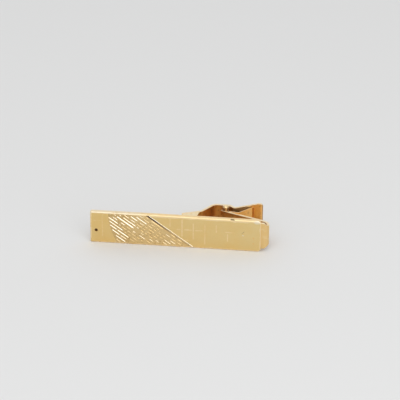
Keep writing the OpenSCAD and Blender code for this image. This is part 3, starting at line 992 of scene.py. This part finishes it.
    def build(self):
        bar, radius = self.bar, self.bar.hole / 2
        rows = self.rim()
        rings = [self.ring(radius + bar.burr, 0), self.ring(radius + bar.burr * 0.3, bar.burr * 0.3),
                 self.ring(radius, bar.burr), self.ring(radius, bar.sheet)]
        for ring, following in zip(rings, rings[1:]):
            for number in range(HOLE_STEPS):
                after = (number + 1) % HOLE_STEPS
                self.mesh.faces.new((ring[number], ring[after], following[after], following[number]))

        chains = []
        for cut in self.cuts:
            cut_rows = cut.rows()
            for first, second in zip(cut_rows, cut_rows[1:]):
                for number in range(max(len(first), len(second))):
                    chains.append([first[min(number, len(first) - 1)], second[min(number, len(second) - 1)]])
        heights = spread(bar.edge_radius, self.width - bar.edge_radius, BORDER_STEPS)
        chains.append([Vector((hatch_border(bar, height), height)) for height in heights])

        def engraved(point):
            return self.vertex(point.x, self.engraving(point), point.y)

        def plain(point):
            return self.vertex(point.x, bar.sheet, point.y)

        self.fill([row[0] for row in rows], rings[0], radius + bar.burr, engraved, chains, self.face_slot)
        self.fill([row[-1] for row in rows], rings[-1], radius, plain, (), lambda point: BACK)
        return self.mesh


# Edges that turn by more than this stay sharp, in degrees: the bar's, the bent sheets' and the pin's
BAR_CREASE = 12
SHEET_CREASE = 35
PIN_CREASE = 40


def finished_piece(name, mesh, body, node, materials, crease):
    """Turns a bmesh into a smooth-shaded piece that stands for a CAD node, and rides on a body
    unless it is to be bent between two."""
    bmesh.ops.remove_doubles(mesh, verts=mesh.verts, dist=TINY)
    strays = [edge for edge in mesh.edges if not edge.link_faces]
    bmesh.ops.delete(mesh, geom=strays, context="EDGES")
    bmesh.ops.recalc_face_normals(mesh, faces=mesh.faces)
    data = bpy.data.meshes.new(name)
    mesh.to_mesh(data)
    mesh.free()
    data.shade_smooth()
    data.set_sharp_from_angle(angle=math.radians(crease))
    for material in materials:
        data.materials.append(material)
    piece = new_object(name, data)
    if body:
        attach(piece, body)
    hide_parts(node)
    return piece


# Material slots of the bent sheet pieces
OUTER, INNER, EDGE = range(3)
# Softening of the edges of the strap and the lever, and of the thinner leaf, and its steps
SHEET_SOFT = 0.09 * MM
LEAF_SOFT = 0.04 * MM
SOFT_STEPS = 2
# Faces of the sheet that turn by less than this are joined up, in degrees
FLAT = 0.5
# A face whose normal leans more than this up or down lies along the sheet's long edges or on its
# ears, and of the others one that is less high than this is a cut edge
SIDEWAYS = 0.7
EDGE_HEIGHT = 1.0 * MM
# Where the sheet's edges narrow round the fold: the turn's axis, and the half widths at its ends
FOLD_AXIS = Vector((27.7, 1.15)) * MM
FOLD_START = 4.4 * MM
FOLD_END = 3.3 * MM


def sheet_side(face):
    """Which side of a bent sheet piece a face is on: its cut edge, its shown side or its inside."""
    middle = face.calc_center_median()
    off_middle = middle.z - (BAR_LOW.z + BAR_HIGH.z) / 2
    heights = [vertex.co.z for vertex in face.verts]
    if abs(face.normal.z) < SIDEWAYS and max(heights) - min(heights) < EDGE_HEIGHT:
        return EDGE
    if abs(face.normal.z) > SIDEWAYS:
        return EDGE if face.normal.z * off_middle > 0 else INNER
    if middle.y > BAR_HIGH.y and (face.normal.y < -0.2 or face.normal.x < -0.6 and middle.x > BAR_HIGH.x):
        return INNER
    return OUTER


def even_fold(mesh):
    """Gives the sheet's two sides the same width at each point of the fold's turn."""
    middle = (BAR_LOW.z + BAR_HIGH.z) / 2
    turns = {}
    for vertex in mesh.verts:
        gap = Vector((vertex.co.x, vertex.co.y)) - FOLD_AXIS
        if gap.x > TINY and gap.y < TINY:
            turn = round(math.degrees(math.atan2(gap.x, -gap.y)))
            turns.setdefault((turn, vertex.co.z > middle), []).append((vertex, gap.x / gap.length))
    for pair in turns.values():
        bmesh.ops.connect_verts(mesh, verts=[vertex for vertex, share in pair])
    for pair in turns.values():
        for vertex, share in pair:
            half = FOLD_START + share * (FOLD_END - FOLD_START)
            vertex.co.z = middle + math.copysign(half, vertex.co.z - middle)
    bmesh.ops.remove_doubles(mesh, verts=mesh.verts, dist=SAME_PLACE)
    bmesh.ops.dissolve_degenerate(mesh, edges=mesh.edges, dist=SAME_PLACE)
    bmesh.ops.recalc_face_normals(mesh, faces=mesh.faces)


def bent_sheet(node, name, body, materials, soft, shape=None):
    """The solid's own bent sheet with its flat faces joined up, its sides told apart and its
    edges softened."""
    mesh = bmesh.new()
    mesh.from_mesh(frame["nodes"][node].data)
    bmesh.ops.remove_doubles(mesh, verts=mesh.verts, dist=TINY)
    bmesh.ops.dissolve_limit(mesh, angle_limit=math.radians(FLAT), verts=mesh.verts, edges=mesh.edges)
    bmesh.ops.recalc_face_normals(mesh, faces=mesh.faces)
    if shape:
        shape(mesh)
    for face in mesh.faces:
        face.material_index = sheet_side(face)
    piece = finished_piece(name, mesh, body, node, materials, SHEET_CREASE)
    bevel = piece.modifiers.new("softened edges", "BEVEL")
    bevel.width = soft
    bevel.segments = SOFT_STEPS
    bevel.limit_method = "ANGLE"
    bevel.angle_limit = math.radians(SHEET_CREASE)
    bevel.material = EDGE
    bevel.harden_normals = True
    return piece


def sheet_gilts(scene, name, lip_shade=0, shade_reach=0):
    """The finishes of a bent sheet piece, in the order of its material slots."""
    colours = scene.tie_clip_colours
    return [outer_gilt(colours, scene.tie_clip_bar, name), inner_gilt(colours, name, lip_shade),
            edge_gilt(colours, name, lip_shade, shade_reach)]


class TIECLIP_OT_bar(bpy.types.Operator):
    """Makes the engraved bar"""

    bl_idname = "tieclip.bar"
    bl_label = "Engraved bar"

    def execute(self, context):
        shell = BarShell(context.scene.tie_clip_bar)
        finishes = [make(context.scene.tie_clip_colours) for make in BAR_FINISHES]
        finished_piece("engraved_bar", shell.build(), "bar", "front_bar", finishes, BAR_CREASE)
        return {"FINISHED"}


class TIECLIP_OT_strap(bpy.types.Operator):
    """Makes the folded strap with its arm"""

    bl_idname = "tieclip.strap"
    bl_label = "Folded strap"

    def execute(self, context):
        finishes = sheet_gilts(context.scene, "strap", shade_reach=0.9 * MM)
        bent_sheet("back_strap", "folded_strap", "bar", finishes, SHEET_SOFT, even_fold)
        return {"FINISHED"}


class TIECLIP_OT_lever(bpy.types.Operator):
    """Makes the toothed lever"""

    bl_idname = "tieclip.lever"
    bl_label = "Toothed lever"

    def execute(self, context):
        finishes = sheet_gilts(context.scene, "lever", lip_shade=0.8)
        bent_sheet("jaw_lever", "toothed_lever", "lever", finishes, SHEET_SOFT)
        return {"FINISHED"}


class TIECLIP_OT_pin(bpy.types.Operator):
    """Makes the riveted pin"""

    bl_idname = "tieclip.pin"
    bl_label = "Riveted pin"

    def execute(self, context):
        mesh = bmesh.new()
        mesh.from_mesh(frame["nodes"]["hinge_pin"].data)
        finishes = [pin_gilt(context.scene.tie_clip_colours)]
        finished_piece("riveted_pin", mesh, "lever", "hinge_pin", finishes, PIN_CREASE)
        return {"FINISHED"}


class TIECLIP_OT_spring(bpy.types.Operator):
    """Makes the leaf spring, which bends between the arm and the thumb pad"""

    bl_idname = "tieclip.spring"
    bl_label = "Leaf spring"

    def execute(self, context):
        finishes = sheet_gilts(context.scene, "spring")
        piece = bent_sheet("leaf_spring", "bent_leaf", None, finishes, LEAF_SOFT)
        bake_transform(piece)
        return {"FINISHED"}


class TIECLIP_OT_stage(bpy.types.Operator):
    """Makes the floor, the light and the camera"""

    bl_idname = "tieclip.stage"
    bl_label = "Stage"

    def execute(self, context):
        settings = context.scene.tie_clip_stage
        self.floor(context.scene.tie_clip_colours)
        self.world(settings)
        self.lamp("side", settings)
        self.lamp("top", settings)
        self.camera(context, settings)
        return {"FINISHED"}

    def floor(self, colours):
        mesh = bpy.data.meshes.new("floor")
        corners = [(x * FLOOR_REACH, y * FLOOR_REACH, 0) for x, y in ((-1, -1), (1, -1), (1, 1), (-1, 1))]
        mesh.from_pydata(corners, [], [(0, 1, 2, 3)])
        floor = new_object("floor", mesh)
        material, shader = new_material("floor")
        shader.inputs["Base Color"].default_value = (*colours.floor, 1)
        shader.inputs["Roughness"].default_value = FLOOR_ROUGHNESS
        mesh.materials.append(material)

    def world(self, settings):
        """Light from all round: brighter overhead, and again from behind and from the front."""
        world = bpy.data.worlds.new("studio")
        bpy.context.scene.world = world
        world.use_nodes = True
        sky = world.node_tree.nodes["Background"]
        sky.inputs["Color"].default_value = (1, 1, 1, 1)
        wiring = Wiring(world.node_tree)
        axes = wiring.axes(wiring.add("ShaderNodeTexCoord").outputs["Generated"])
        level = wiring.ramp(axes["Z"], -0.1, 1.0, settings.horizon_level, settings.overhead_level)
        behind = wiring.ramp(axes["Y"], 0.1, 0.8, 0.0, settings.back_level)
        before = wiring.ramp(axes["Y"], -0.8, 0.0, settings.front_level, 0.0)
        wiring.join(wiring.plus(level, behind, before), sky.inputs["Strength"])

    def lamp(self, name, settings):
        """A round soft lamp that faces the clip. Its power comes from its size and its brightness."""
        parts = (name + "_glow", name + "_size", name + "_turn", name + "_height")
        glow, size, turn, height = [getattr(settings, part) for part in parts]
        light = bpy.data.lights.new(name, "AREA")
        light.shape = "DISK"
        light.size = size
        light.energy = glow * math.pi * math.pi * size * size / 4
        lamp = new_object(name + "_lamp", light)
        flat = math.cos(height)
        towards = Vector((math.sin(turn) * flat, -math.cos(turn) * flat, math.sin(height)))
        lamp.location = towards * settings.lamp_distance
        lamp.rotation_euler = (-towards).to_track_quat("-Z", "Y").to_euler()

    def camera(self, context, settings):
        start = Vector((BAR_LOW.x, BAR_LOW.y, (BAR_LOW.z + BAR_HIGH.z) / 2))
        tilt = Matrix.Rotation(settings.yaw, 3, "Z") @ Matrix.Rotation(-settings.elevation, 3, "X")
        right, forward, up = tilt.col
        aim = start + AIM_RIGHT * right + AIM_UP * up
        data = bpy.data.cameras.new("camera")
        data.sensor_width = SENSOR
        data.lens = SENSOR * FOCAL_PIXELS / PHOTO_SIZE
        data.clip_start, data.clip_end = NEAREST, FARTHEST
        camera = new_object("camera", data)
        axes = Matrix((right, up, -forward)).transposed() @ Matrix.Rotation(settings.roll, 3, "Z")
        camera.matrix_world = Matrix.Translation(aim - settings.distance * forward) @ axes.to_4x4()
        context.scene.camera = camera
        context.scene.view_settings.view_transform = "Standard"


class TIECLIP_PT_panel(bpy.types.Panel):
    """The clip's pieces, in the order in which they are made"""

    bl_idname = "TIECLIP_PT_panel"
    bl_label = "Tie clip"
    bl_space_type = "VIEW_3D"
    bl_region_type = "UI"
    bl_category = "Tie clip"

    def draw(self, context):
        for operator in OPERATORS:
            self.layout.operator(operator.bl_idname)


GROUPS = {
    "tie_clip_colours": TieClipColours,
    "tie_clip_bar": TieClipBar,
    "tie_clip_spring": TieClipSpring,
    "tie_clip_stage": TieClipStage,
}
OPERATORS = (TIECLIP_OT_bar, TIECLIP_OT_strap, TIECLIP_OT_lever, TIECLIP_OT_pin, TIECLIP_OT_spring,
             TIECLIP_OT_stage)
CLASSES = (*GROUPS.values(), *OPERATORS, TIECLIP_PT_panel)


def register():
    for kind in CLASSES:
        bpy.utils.register_class(kind)
    for name, group in GROUPS.items():
        setattr(bpy.types.Scene, name, PointerProperty(type=group))


def unregister():
    for name in GROUPS:
        delattr(bpy.types.Scene, name)
    for kind in reversed(CLASSES):
        bpy.utils.unregister_class(kind)


def main():
    register()
    bpy.ops.tieclip.bar()
    bpy.ops.tieclip.strap()
    bpy.ops.tieclip.lever()
    bpy.ops.tieclip.pin()
    bpy.ops.tieclip.spring()
    bpy.ops.tieclip.stage()


if __name__ == "__main__":
    main()
